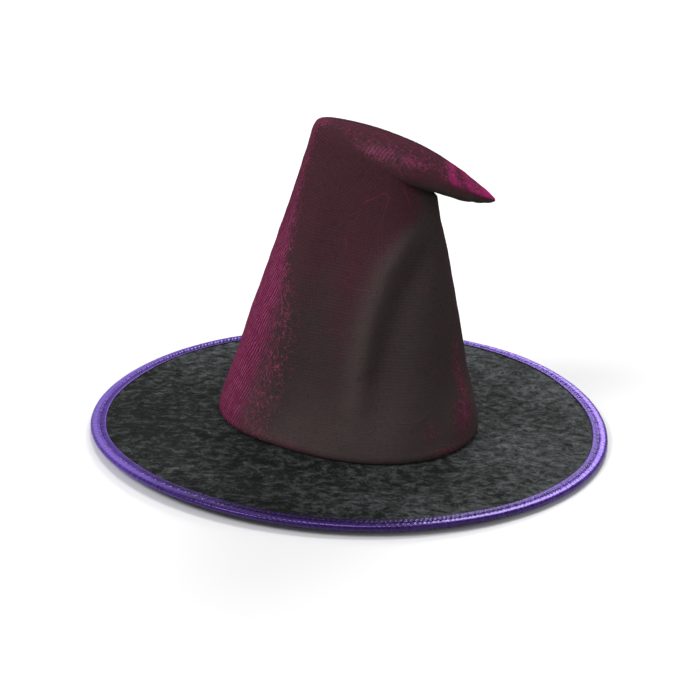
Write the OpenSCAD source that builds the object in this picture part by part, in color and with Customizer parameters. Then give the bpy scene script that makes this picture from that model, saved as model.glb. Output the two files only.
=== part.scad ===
// Witch hat with a folded-over peak: a soft cone sewn to a wide flat brim.
// Millimetres, +Z up. The brim lies in XY, centred on the origin, and its
// bound edge touches z = 0. The peak folds over towards +X.

/* [Brim] */
// Outside diameter of the brim over its bound edge
brim_d = 380; // [350:2:420]
// Thickness of the foam board inside the brim
brim_core_t = 2.6; // [2:0.1:3]
// Thickness of the velvet on top of the brim
velvet_t = 0.9; // [0.6:0.1:1]
// Thickness of the plain cloth under the brim
underlining_t = 0.5; // [0.4:0.1:0.6]

/* [Bound edge] */
// Outside diameter of the padded satin roll round the brim
roll_d = 6.6; // [6.4:0.1:7.2]
// Thickness of the satin
satin_t = 0.7; // [0.5:0.1:0.8]
// Width of the flat satin lip inside the roll
lip_w = 4.5; // [3:0.5:7]
// Diameter of the spring hoop inside the roll
hoop_d = 2.4; // [1.6:0.2:2.8]

/* [Crown] */
// How far the crown is sewn off the brim's centre, along X
crown_x = -2.5; // [-4:0.5:0]
// Thickness of the shot fabric
shell_t = 0.5; // [0.4:0.1:0.6]
// Thickness of the stiff interlining
interlining_t = 1.5; // [1:0.1:1.6]
// Thickness of the lining
lining_t = 0.4; // [0.3:0.1:0.5]

/* [Head opening] */
// Inside radius of the sweatband, 9.0 cm for a 56.5 cm head
band_r = 90; // [88:0.5:90.5]
// Thickness of the sweatband
band_t = 1; // [0.8:0.1:1.2]
// Height of the sweatband
band_h = 29; // [20:1:32]

/* [Hidden] */

$fn = 120;
SEG = 32;                       // facets round the crown
EPS = 0.01;

brim_r = brim_d/2;
roll_r = roll_d/2;
roll_c = brim_r - roll_r;       // radius of the roll's centre line
mid_z = roll_r;                 // mid plane of the brim
core_z = mid_z - brim_core_t/2;
under_z = core_z - underlining_t;
velvet_z = core_z + brim_core_t;
top_z = velvet_z + velvet_t;    // the crown stands on this face
edge_r = roll_c - roll_r + satin_t + 0.1;  // where the brim's layers end
hole_r = band_r + band_t + 0.4; // hole in the brim's layers
lean = 0.33;                    // how the free part of the sweatband leans in
band_z = 1;                     // lower edge of the sweatband
band_up = 8.5;                  // height of the sweatband's upright part

// Offsets of each layer's outer and inner face below the crown's surface
il_out = shell_t + 0.2;
il_in = il_out + interlining_t;
al_out = il_in + 0.2;
al_in = al_out + 0.5;
ln_out = al_in + 0.2;
ln_in = ln_out + lining_t;

// Sections of the standing cone, from the brim to the fold. Each one is an
// oval across the hat: left end x, z, right end x, z, and half its depth.
CONE = [
  [-96.5,   0,  96.5,   0, 96.5],
  [-89.0,  26,  89.5,  26, 88.5],
  [-80.0,  54,  83.0,  54, 80.0],
  [-71.5,  85,  76.5,  82, 71.0],
  [-62.5, 115,  71.0, 106, 62.0],
  [-53.5, 145,  66.0, 128, 53.5],
  [-45.5, 169,  62.5, 146, 47.0],
  [-37.5, 194,  59.5, 158, 41.5],
  [-29.0, 221,  57.5, 167, 37.5]
];

// Sections of the folded peak, from the fold out to near its point
PEAK = [
  [-28.6, 221.6, 57.9, 167.6, 37.2],
  [-16.5, 223.0, 60.0, 167.2, 35.0],
  [  7.5, 218.0, 63.5, 166.4, 30.5],
  [ 30.5, 210.5, 67.5, 165.6, 26.0],
  [ 49.5, 202.0, 72.5, 165.0, 21.0],
  [ 66.5, 192.0, 78.5, 164.2, 15.5],
  [ 81.5, 182.0, 85.5, 163.6, 10.0],
  [ 91.5, 174.5, 92.5, 164.2,  5.5]
];
POINT = [99, 0, 167.5];         // the point of the peak

// A smooth curve through the rows of a table
function spline(T, u) =
  let (n = len(T) - 1, i = min(floor(u), n - 1), f = u - i,
       a = T[max(i - 1, 0)], b = T[i], c = T[i + 1], d = T[min(i + 2, n)])
  0.5*(2*b + (c - a)*f + (2*a - 5*b + 4*c - d)*f*f + (3*b - a - 3*c + d)*f*f*f);

// A point on an oval section at angle t, set in by d
function on_oval(s, t, d) =
  let (hw = norm([s[2] - s[0], s[3] - s[1]])/2,
       k = max(hw - d*1.04, 0.2)/hw, h = max(s[4] - d*1.04, 0.2),
       mx = (s[0] + s[2])/2, mz = (s[1] + s[3])/2)
  [mx + (s[2] - s[0])/2*k*cos(t), h*sin(t), mz + (s[3] - s[1])/2*k*cos(t)];

function oval(s, d) = [for (i = [0 : SEG - 1]) on_oval(s, 360*i/SEG, d)];

// Sections u0 to u1 of a table, in n steps, as one list of points
function tube(T, u0, u1, n, d) =
  [for (j = [0 : n]) each oval(spline(T, u0 + (u1 - u0)*j/n), d)];

function strip(a, b, flip) =    // two triangles a side between rings a and b
  [for (i = [0 : SEG - 1]) let (k = (i + 1) % SEG)
     each (flip ? [[a + i, a + k, b + i], [a + k, b + k, b + i]]
                : [[a + i, b + i, a + k], [a + k, b + i, b + k]])];

function fan(a, tip, flip) =
  [for (i = [0 : SEG - 1]) let (k = (i + 1) % SEG)
     flip ? [a + i, a + k, tip] : [a + i, tip, a + k]];

// An open sleeve of cloth between depths d0 and d1 below the surface
module sleeve(T, u0, u1, n, d0, d1) {
  m = SEG*(n + 1);
  translate([crown_x, 0, top_z]) polyhedron(
    points = concat(tube(T, u0, u1, n, d0), tube(T, u0, u1, n, d1)),
    faces = concat(
      [for (j = [0 : n - 1]) each strip(SEG*j, SEG*(j + 1), false)],
      [for (j = [0 : n - 1]) each strip(m + SEG*j, m + SEG*(j + 1), true)],
      strip(0, m, true),
      strip(SEG*n, m + SEG*n, false)),
    convexity = 6);
}

// A sleeve closed at its far end: the outer face ends at tip0, the inner at tip1
module bag(T, u0, ua, na, d0, tip0, ub, nb, d1, tip1) {
  m = SEG*(na + 1);
  q = m + SEG*(nb + 1);
  translate([crown_x, 0, top_z]) polyhedron(
    points = concat(tube(T, u0, ua, na, d0), tube(T, u0, ub, nb, d1), [tip0, tip1]),
    faces = concat(
      [for (j = [0 : na - 1]) each strip(SEG*j, SEG*(j + 1), false)],
      fan(SEG*na, q, false),
      [for (j = [0 : nb - 1]) each strip(m + SEG*j, m + SEG*(j + 1), true)],
      fan(m + SEG*nb, q + 1, true),
      strip(0, m, true)),
    convexity = 6);
}

function middle(T, u) =         // the centre of a section
  let (s = spline(T, u)) [(s[0] + s[2])/2, 0, (s[1] + s[3])/2];

// A narrow strip of cloth up the back, from facet angle a0 to a1
module back_strip(a0, a1, d0, d1, u0, u1, n) {
  function p(u, a, d) =         // stays in the plane of the facets
    let (s = spline(CONE, u), w = 360/SEG, i = floor(a/w), f = a/w - i)
    on_oval(s, i*w, d)*(1 - f) + on_oval(s, (i + 1)*w, d)*f;
  translate([crown_x, 0, top_z]) polyhedron(
    points = [for (j = [0 : n]) let (u = u0 + (u1 - u0)*j/n)
                each [p(u, a0, d0), p(u, a1, d0), p(u, a1, d1), p(u, a0, d1)]],
    faces = concat(
      [[0, 1, 2, 3]],
      [for (j = [0 : n - 1], e = [0 : 3]) let (k = (e + 1) % 4)
         each [[4*j + e, 4*j + 4 + e, 4*j + 4 + k], [4*j + e, 4*j + 4 + k, 4*j + k]]],
      [[4*n + 3, 4*n + 2, 4*n + 1, 4*n]]),
    convexity = 4);
}

// A flat ring of the brim with the head hole cut off centre
module brim_ring(z, t) {
  difference() {
    translate([0, 0, z]) cylinder(r = edge_r, h = t);
    translate([crown_x, 0, z - 1]) cylinder(r = hole_r, h = t + 2);
  }
}

module thread_ring(r, z, d = 0.5) {
  rotate_extrude() translate([r, z]) circle(d = d, $fn = 16);
}

module crown_shell() {
  color([0.30, 0.13, 0.21]) sleeve(CONE, 0, 8, 16, 0, shell_t);
}

module crown_interlining() {
  color([0.16, 0.15, 0.16]) sleeve(CONE, 0, 8, 16, il_out, il_in);
}

// The lining is a bag, closed just under the fold
module crown_lining() {
  color([0.10, 0.09, 0.10])
    bag(CONE, 0, 7, 14, ln_out, middle(CONE, 7), 6.97, 14, ln_in, middle(CONE, 6.97));
}

// The two turned-in edges of the cloth at the cone's back seam
module back_seam_allowances() {
  color([0.24, 0.11, 0.17]) {
    back_strip(83, 89.5, al_out, al_in, 0.1, 7.8, 12);
    back_strip(90.5, 97, al_out, al_in, 0.1, 7.8, 12);
  }
}

module peak_shell() {
  color([0.34, 0.14, 0.24])
    bag(PEAK, 0, 7, 14, 0, POINT, 6.5, 13, shell_t, [94, 0, 168]);
}

module peak_interlining() {
  color([0.16, 0.15, 0.16])
    bag(PEAK, 0, 5.5, 11, il_out, middle(PEAK, 5.7), 4.5, 9, il_in, middle(PEAK, 4.8));
}

module brim_velvet() {
  color([0.16, 0.17, 0.18]) brim_ring(velvet_z, velvet_t);
}

module brim_core() {
  color([0.22, 0.22, 0.22]) brim_ring(core_z, brim_core_t);
}

module brim_underlining() {
  color([0.08, 0.08, 0.09]) brim_ring(under_z, underlining_t);
}

// Satin folded round the edge: a fat roll with a flat lip above and below
module brim_binding() {
  color([0.38, 0.20, 0.66]) rotate_extrude($fn = 180) difference() {
    union() {
      translate([roll_c, mid_z]) circle(r = roll_r, $fn = 48);
      translate([edge_r - lip_w, under_z - satin_t])
        square([lip_w + 1, top_z - under_z + 2*satin_t]);
    }
    translate([roll_c, mid_z]) circle(r = roll_r - satin_t, $fn = 48);
    translate([edge_r - lip_w - 1, under_z]) square([lip_w + 2.2, top_z - under_z]);
  }
}

// A spring hoop whose ends meet in the ferrule, at the back
module edge_hoop() {
  color([0.62, 0.63, 0.66]) difference() {
    rotate_extrude($fn = 180) translate([roll_c, mid_z]) circle(d = hoop_d, $fn = 24);
    translate([-0.5, roll_c - 4, mid_z - 4]) cube([1, 8, 8]);
  }
}

module hoop_ferrule() {
  color([0.55, 0.55, 0.58]) translate([0, roll_c - 0.05, mid_z]) rotate([0, 90, 0])
    difference() {
      cylinder(d = hoop_d + 1.4, h = 14, center = true, $fn = 48);
      cylinder(d = hoop_d + 0.5, h = 16, center = true, $fn = 48);
    }
}

// Upper and lower thread of the seam that holds the lip down
module binding_thread() {
  color([0.12, 0.06, 0.22]) {
    thread_ring(edge_r - 0.9, top_z + satin_t + 0.3);
    thread_ring(edge_r - 0.9, under_z - satin_t - 0.3);
  }
}

module sweatband() {
  color([0.09, 0.09, 0.10]) translate([crown_x, 0, band_z]) rotate_extrude() polygon([
    [band_r, 0], [band_r + band_t, 0], [band_r + band_t, band_up],
    [band_r + band_t - lean*(band_h - band_up), band_h],
    [band_r - lean*(band_h - band_up), band_h], [band_r, band_up]]);
}

// The seam that joins crown, brim and sweatband, seen under the brim
module head_seam_thread() {
  color([0.05, 0.05, 0.06]) translate([crown_x, 0, 0])
    thread_ring(hole_r + 1.6, under_z - 0.3);
}

// A line of stitching near the free edge of the sweatband
module band_thread() {
  color([0.20, 0.20, 0.22]) translate([crown_x, 0, 0])
    thread_ring(band_r - lean*(band_h - 2.5 - band_up) - 0.35, band_z + band_h - 2.5);
}

// A small blank label on the back of the sweatband
module care_label() {
  z = 17;
  r = band_r - lean*(z - band_z - band_up);
  color([0.88, 0.88, 0.86]) translate([crown_x, sqrt(r*r - 144) - 0.5, z])
    rotate([atan(lean), 0, 0]) translate([-12, -0.3, -6]) cube([24, 0.3, 12]);
}

crown_shell();
crown_interlining();
crown_lining();
back_seam_allowances();
peak_shell();
peak_interlining();
brim_velvet();
brim_core();
brim_underlining();
brim_binding();
edge_hoop();
hoop_ferrule();
binding_thread();
sweatband();
head_seam_thread();
band_thread();
care_label();
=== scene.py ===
# Witch hat with a folded peak: the looks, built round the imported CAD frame.
import bpy, math
import numpy as np
from mathutils import Vector, Matrix


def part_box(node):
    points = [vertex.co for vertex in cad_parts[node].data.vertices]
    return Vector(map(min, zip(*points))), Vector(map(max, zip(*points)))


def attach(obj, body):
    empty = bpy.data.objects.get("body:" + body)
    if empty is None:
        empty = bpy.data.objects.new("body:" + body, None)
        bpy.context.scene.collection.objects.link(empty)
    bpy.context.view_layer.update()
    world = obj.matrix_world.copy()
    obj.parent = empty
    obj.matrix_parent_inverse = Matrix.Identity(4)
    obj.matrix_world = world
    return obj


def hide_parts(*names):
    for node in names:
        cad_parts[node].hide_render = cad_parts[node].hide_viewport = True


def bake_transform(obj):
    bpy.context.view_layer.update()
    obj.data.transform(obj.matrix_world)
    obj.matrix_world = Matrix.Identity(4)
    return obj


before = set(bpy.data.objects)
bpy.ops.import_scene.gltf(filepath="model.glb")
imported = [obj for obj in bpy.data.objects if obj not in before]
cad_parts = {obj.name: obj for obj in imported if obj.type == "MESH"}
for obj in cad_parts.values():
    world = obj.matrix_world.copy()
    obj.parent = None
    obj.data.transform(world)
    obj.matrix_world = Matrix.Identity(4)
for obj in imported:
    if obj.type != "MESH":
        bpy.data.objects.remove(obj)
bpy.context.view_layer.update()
MM = 0.001
RNG = np.random.RandomState(11)

# ------------------------------------------------------------------ camera
CAM_D, CAM_EL, CAM_ROLL = 1.300, math.radians(20.19), math.radians(1.89)
back = Vector((0, -math.cos(CAM_EL), math.sin(CAM_EL)))
right = Vector((1, 0, 0))
up = back.cross(right)
R_ = right * math.cos(CAM_ROLL) + up * math.sin(CAM_ROLL)
U_ = up * math.cos(CAM_ROLL) - right * math.sin(CAM_ROLL)
cam_data = bpy.data.cameras.new("camera")
cam = bpy.data.objects.new("camera", cam_data)
bpy.context.scene.collection.objects.link(cam)
cam_data.lens = 1780.1 / 700 * 36
cam_data.sensor_width = 36
cam_data.sensor_fit = "HORIZONTAL"
cam_data.dof.use_dof = False
cam_data.clip_end = 50
M = Matrix((R_, U_, back)).transposed().to_4x4()
M.translation = Vector((-0.00137, 0, 0.05872)) + back * CAM_D
cam.matrix_world = M
bpy.context.scene.camera = cam

# ------------------------------------------------------------------ lights
def area(name, pos, aim, size, energy, colour=(1, 1, 1)):
    d = bpy.data.lights.new(name, "AREA")
    d.shape = "DISK"
    d.size = size
    d.energy = energy
    d.color = colour
    o = bpy.data.objects.new(name, d)
    bpy.context.scene.collection.objects.link(o)
    o.location = pos
    o.rotation_euler = (Vector(aim) - Vector(pos)).to_track_quat("-Z", "Y").to_euler()
    return o

area("key", (-1.4, -1.0, 1.6), (0, 0, 0.1), 0.9, 31)
area("fill", (1.5, -1.2, 1.0), (0, 0, 0.1), 1.4, 7)
area("back", (0.45, 1.6, 1.25), (0, 0, 0.05), 0.9, 22)
area("top", (0.0, 0.3, 2.0), (0, 0, 0.1), 0.6, 14)
world = bpy.data.worlds.new("studio")
bpy.context.scene.world = world
world.use_nodes = True
world.node_tree.nodes["Background"].inputs[0].default_value = (1, 1, 1, 1)
world.node_tree.nodes["Background"].inputs[1].default_value = 0.40
bpy.context.scene.view_settings.view_transform = "Standard"
bpy.context.scene.view_settings.look = "None"


# --------------------------------------------------------------- node tools
class Mat:
    """A small helper that builds a Principled material node by node."""

    def __init__(self, name, slot=None):
        self.m = bpy.data.materials.new(name)
        self.m.use_nodes = True
        self.t = self.m.node_tree
        self.t.nodes.clear()
        self.out = self.t.nodes.new("ShaderNodeOutputMaterial")
        self.b = self.t.nodes.new("ShaderNodeBsdfPrincipled")
        self.t.links.new(self.b.outputs[0], self.out.inputs[0])

    def put(self, sock, v):
        s = self.b.inputs[sock] if isinstance(sock, str) else sock
        if isinstance(v, bpy.types.NodeSocket):
            self.t.links.new(v, s)
        elif isinstance(v, (tuple, list)) and len(v) == 3 and s.type == "RGBA":
            s.default_value = (*v, 1)
        else:
            s.default_value = v

    def attr(self, name, kind="Fac"):
        n = self.t.nodes.new("ShaderNodeAttribute")
        n.attribute_name = name
        return n.outputs[kind]

    def coord(self):
        n = self.t.nodes.new("ShaderNodeTexCoord")
        return n.outputs["Object"]

    def math(self, op, a, b=0.0, clamp=False):
        n = self.t.nodes.new("ShaderNodeMath")
        n.operation = op
        n.use_clamp = clamp
        self.put(n.inputs[0], a)
        self.put(n.inputs[1], b)
        return n.outputs[0]

    def vmath(self, op, a, b=(0, 0, 0), scale=None):
        n = self.t.nodes.new("ShaderNodeVectorMath")
        n.operation = op
        self.put(n.inputs[0], a)
        if op == "SCALE":
            self.put(n.inputs[3], scale)
        else:
            self.put(n.inputs[1], b)
        return n.outputs[1] if op in ("LENGTH", "DOT_PRODUCT") else n.outputs[0]

    def comb(self, x, y, z):
        n = self.t.nodes.new("ShaderNodeCombineXYZ")
        for i, v in enumerate((x, y, z)):
            self.put(n.inputs[i], v)
        return n.outputs[0]

    def sep(self, v):
        n = self.t.nodes.new("ShaderNodeSeparateXYZ")
        self.put(n.inputs[0], v)
        return n.outputs

    def noise(self, vec, scale, detail=3.0, rough=0.5, dist=0.0, w=None):
        n = self.t.nodes.new("ShaderNodeTexNoise")
        if w is not None:
            n.noise_dimensions = "4D"
            n.inputs["W"].default_value = w
        self.put(n.inputs["Vector"], vec)
        n.inputs["Scale"].default_value = scale
        n.inputs["Detail"].default_value = detail
        n.inputs["Roughness"].default_value = rough
        n.inputs["Distortion"].default_value = dist
        return n.outputs["Fac"]

    def noisev(self, vec, scale, detail=2.0):
        n = self.t.nodes.new("ShaderNodeTexNoise")
        self.put(n.inputs["Vector"], vec)
        n.inputs["Scale"].default_value = scale
        n.inputs["Detail"].default_value = detail
        return n.outputs["Color"]

    def voro(self, vec, scale, feature="DISTANCE_TO_EDGE", rnd=1.0):
        n = self.t.nodes.new("ShaderNodeTexVoronoi")
        n.feature = feature
        self.put(n.inputs["Vector"], vec)
        n.inputs["Scale"].default_value = scale
        n.inputs["Randomness"].default_value = rnd
        return n.outputs["Distance"]

    def ramp(self, v, stops, interp="LINEAR"):
        n = self.t.nodes.new("ShaderNodeValToRGB")
        n.color_ramp.interpolation = interp
        e = n.color_ramp.elements
        while len(e) < len(stops):
            e.new(0.5)
        for i, (p, c) in enumerate(stops):
            e[i].position = p
            e[i].color = (*c, 1) if isinstance(c, tuple) else (c, c, c, 1)
        self.put(n.inputs[0], v)
        return n.outputs[0]

    def mix(self, f, a, b, mode="MIX"):
        n = self.t.nodes.new("ShaderNodeMix")
        n.data_type = "RGBA"
        n.blend_type = mode
        self.put(n.inputs["Factor"], f)
        self.put(n.inputs[6], a)
        self.put(n.inputs[7], b)
        return n.outputs[2]

    def remap(self, v, a, b, c=0.0, d=1.0, smooth=False):
        n = self.t.nodes.new("ShaderNodeMapRange")
        if smooth:
            n.interpolation_type = "SMOOTHSTEP"
        self.put(n.inputs[0], v)
        for i, x in enumerate((a, b, c, d)):
            n.inputs[i + 1].default_value = x
        return n.outputs[0]

    def bump(self, h, dist, strength=1.0, normal=None):
        n = self.t.nodes.new("ShaderNodeBump")
        n.inputs["Distance"].default_value = dist
        n.inputs["Strength"].default_value = strength
        self.put(n.inputs["Height"], h)
        if normal is not None:
            self.put(n.inputs["Normal"], normal)
        return n.outputs[0]

    def sine(self, v, period):      # 0..1 wave of the given period
        return self.remap(self.math("SINE", self.math("MULTIPLY", v, 2 * math.pi / period)), -1, 1, 0, 1)


def lin(r, g, b):
    """sRGB 0-255 to linear."""
    return tuple((c / 255 / 12.92) if c / 255 <= 0.04045 else ((c / 255 + 0.055) / 1.055) ** 2.4
                 for c in (r, g, b))


# --------------------------------------------------------------- mesh tools
def mesh_obj(name, verts, faces, mat, attrs=None, smooth=True):
    me = bpy.data.meshes.new(name)
    v = np.asarray(verts, float) * MM
    me.from_pydata(v.tolist(), [], [list(map(int, f)) for f in faces])
    me.validate()
    if smooth:
        me.polygons.foreach_set("use_smooth", [True] * len(me.polygons))
    for k, a in (attrs or {}).items():
        a = np.asarray(a, np.float32)
        if a.ndim == 2:
            at = me.attributes.new(k, "FLOAT_VECTOR", "POINT")
            at.data.foreach_set("vector", a.ravel())
        else:
            at = me.attributes.new(k, "FLOAT", "POINT")
            at.data.foreach_set("value", a.ravel())
    me.materials.append(mat)
    ob = bpy.data.objects.new(name, me)
    bpy.context.scene.collection.objects.link(ob)
    me.update()
    return ob


def grid_faces(n, m, wrap, base=0, flip=False):
    """Quads of a grid of n rows by m columns, numbered row by row."""
    j, i = np.meshgrid(np.arange(n - 1), np.arange(m if wrap else m - 1), indexing="ij")
    k = (i + 1) % m
    a = base + j * m + i
    b = base + j * m + k
    c = base + (j + 1) * m + k
    d = base + (j + 1) * m + i
    q = np.stack([a, b, c, d], -1).reshape(-1, 4)
    return q[:, ::-1] if flip else q


def grid_normals(P, wrap):
    """Unit normals of a grid of points, row x column."""
    dj = np.empty_like(P)
    dj[1:-1] = P[2:] - P[:-2]
    dj[0] = P[1] - P[0]
    dj[-1] = P[-1] - P[-2]
    di = np.empty_like(P)
    if wrap:
        di = np.roll(P, -1, 1) - np.roll(P, 1, 1)
    else:
        di[:, 1:-1] = P[:, 2:] - P[:, :-2]
        di[:, 0] = P[:, 1] - P[:, 0]
        di[:, -1] = P[:, -1] - P[:, -2]
        if np.allclose(P[:, 0], P[:, -1], atol=1e-6):
            e = P[:, 1] - P[:, -2]
            di[:, 0] = e
            di[:, -1] = e
    n = np.cross(di, dj)
    return n / np.maximum(np.linalg.norm(n, axis=-1, keepdims=True), 1e-9)


def shell(name, P, t0, t1, mat, wrap, attrs=None, nrm=None, cap=False):
    """A closed sheet between depths t0 and t1 under the grid P."""
    n, m = P.shape[:2]
    N = grid_normals(P, wrap) if nrm is None else nrm
    t1 = np.broadcast_to(t1, P.shape[:2])[..., None]
    A, B = P - N * t0, P - N * t1
    V = np.concatenate([A.reshape(-1, 3), B.reshape(-1, 3)])
    o = n * m
    F = [grid_faces(n, m, wrap), grid_faces(n, m, wrap, o, True)]
    c = np.arange(m if wrap else m - 1)
    k = (c + 1) % m
    F.append(np.stack([c, c + o, k + o, k], -1))                       # first row
    if cap:
        ta, tb = len(V), len(V) + 1
        V = np.concatenate([V, A[-1].mean(0)[None], B[-1].mean(0)[None]])
        e = (n - 1) * m
        F1 = [[e + a, e + b, ta] for a, b in zip(c, k)] + [[e + o + b, e + o + a, tb] for a, b in zip(c, k)]
    else:
        e = (n - 1) * m
        F.append(np.stack([e + c, e + k, e + k + o, e + c + o], -1))
        F1 = []
    if not wrap:
        r = np.arange(n - 1)
        F.append(np.stack([r * m, (r + 1) * m, (r + 1) * m + o, r * m + o], -1))
        q = r * m + m - 1
        F.append(np.stack([q, q + o, q + m + o, q + m], -1))
    faces = [list(f) for f in np.concatenate(F)] + F1
    at = {}
    for key, a in (attrs or {}).items():
        a = np.asarray(a).reshape(o, -1)
        a = np.concatenate([a, a] + ([a[-m:].mean(0)[None]] * 2 if cap else []))
        at[key] = a[:, 0] if a.shape[1] == 1 else a
    return mesh_obj(name, V, faces, mat, at)


def smooth01(x):
    x = np.clip(x, 0, 1)
    return x * x * (3 - 2 * x)


def wobble(x, y, z, scale, seed, octaves=3):
    """Smooth seeded noise, about -1..1, from sums of plane waves."""
    r = np.random.RandomState(seed)
    out = np.zeros(np.broadcast(x, y, z).shape)
    amp, tot = 1.0, 0.0
    for o in range(octaves):
        for _ in range(7):
            d = r.normal(size=3)
            d *= 2 * math.pi / (scale / 2 ** o) / np.linalg.norm(d) * r.uniform(0.7, 1.3)
            out += amp * np.sin(d[0] * x + d[1] * y + d[2] * z + r.uniform(0, 6.28))
        tot += amp * 7 ** 0.5
        amp *= 0.5
    return out / tot


# ------------------------------------------------------------------- sizes
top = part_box("brim_velvet")[1][2] / MM            # face the crown stands on
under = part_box("brim_underlining")[0][2] / MM
CX = (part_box("sweatband")[0][0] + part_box("sweatband")[1][0]) / 2 / MM   # crown's centre
ROLL_R = 3.3
ROLL_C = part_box("brim_binding")[1][0] / MM - ROLL_R
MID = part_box("brim_binding")[1][2] / MM / 2
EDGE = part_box("brim_velvet")[1][0] / MM
HOLE = (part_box("sweatband")[1][0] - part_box("sweatband")[0][0]) / 2 / MM + 0.4


def pull(phi):
    """How far the head opening is drawn in at each angle, mm: most at the front left."""
    d = (np.degrees(phi) - 242 + 180) % 360 - 180
    return 5.5 * np.exp(-(d / 34.0) ** 2)


def rise(phi):
    """How far the brim bulges up under the crown's edge, mm."""
    d = (np.degrees(phi) - 240 + 180) % 360 - 180
    return 2.8 * np.exp(-(d / 42.0) ** 2)


def askew(x, y):
    """Points of the head opening: a little oval, askew and drawn in at one side."""
    phi = np.arctan2(y, x - CX)
    g = pull(phi)
    return x + 0.9 - g * np.cos(phi), y * 0.98 + 3.0 - 9.0 * (x - CX) / 96.0 - g * np.sin(phi)


def wave(x, y):
    """The brim's slight wave: it lies on the floor at two places and lifts between them."""
    r = np.hypot(x, y)
    t = np.arctan2(y, x)
    w = 2.85 - 1.35 * np.cos(2 * t) + 1.8 * np.sin(2 * t) - 0.7 * np.cos(4 * t) + 0.2 * np.sin(4 * t) \
        + 0.1 * np.cos(3 * t) + 0.35 * np.sin(3 * t) + 0.4 * np.sin(t)
    return w * smooth01((r - 104) / 84) + rise(t) * (1 - smooth01((r - 86) / 62))


# ------------------------------------------------------------ crown surface
# Sections: left end x, z, right end x, z, half depth. From the brim up to the
# fold, round it, and out to the point of the peak.
SEC = np.array([
    [-92.8, 5.0, 89.6, 5.0, 90.6],
    [-96.2, 6.4, 93.0, 6.4, 93.6],
    [-97.6, 9.6, 94.3, 9.6, 94.6],
    [-96.4, 15.0, 93.4, 15.0, 93.2],
    [-91.3, 32.0, 90.2, 32.0, 88.0],
    [-82.4, 60.0, 83.2, 60.0, 80.0],
    [-73.0, 90.6, 77.2, 88.6, 71.0],
    [-62.7, 120.3, 71.4, 112.8, 62.0],
    [-53.2, 150.1, 66.4, 137.0, 52.0],
    [-46.3, 174.5, 61.6, 156.4, 44.6],
    [-39.6, 198.8, 58.5, 169.0, 39.4],
    [-34.4, 216.7, 57.0, 175.4, 36.8],
    [-32.2, 224.6, 56.5, 177.4, 36.1],
    [-28.6, 229.2, 56.0, 178.9, 35.6],      # the fold
    [-18.8, 229.7, 56.5, 179.4, 34.9],
    [5.5, 225.4, 62.4, 178.4, 32.4],
    [29.5, 218.3, 68.4, 176.5, 28.4],
    [48.9, 210.4, 72.9, 174.7, 23.6],
    [66.3, 200.3, 78.3, 173.6, 18.0],
    [81.9, 190.1, 84.9, 172.9, 11.8],
    [92.6, 183.3, 90.8, 172.5, 7.2],
    [98.3, 179.0, 97.2, 173.2, 4.2],
])
FOLD_ROW = 13
tk = np.concatenate([[0], np.cumsum(np.hypot(*(np.diff(SEC[:, :2], axis=0)).T))])


def sections(t):
    """Smooth curve through the section table at lengths t along the outer edge."""
    T, n = SEC, len(SEC)
    m = np.empty_like(T)
    m[1:-1] = (T[2:] - T[:-2]) / (tk[2:] - tk[:-2])[:, None]
    m[0] = (T[1] - T[0]) / (tk[1] - tk[0])
    m[-1] = (T[-1] - T[-2]) / (tk[-1] - tk[-2])
    i = np.clip(np.searchsorted(tk, t, side="right") - 1, 0, n - 2)
    h = (tk[i + 1] - tk[i])[:, None]
    f = ((t - tk[i])[:, None]) / h
    return ((2 * f ** 3 - 3 * f ** 2 + 1) * T[i] + (f ** 3 - 2 * f ** 2 + f) * h * m[i]
            + (-2 * f ** 3 + 3 * f ** 2) * T[i + 1] + (f ** 3 - f ** 2) * h * m[i + 1])


T_FOLD = tk[FOLD_ROW]


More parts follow.
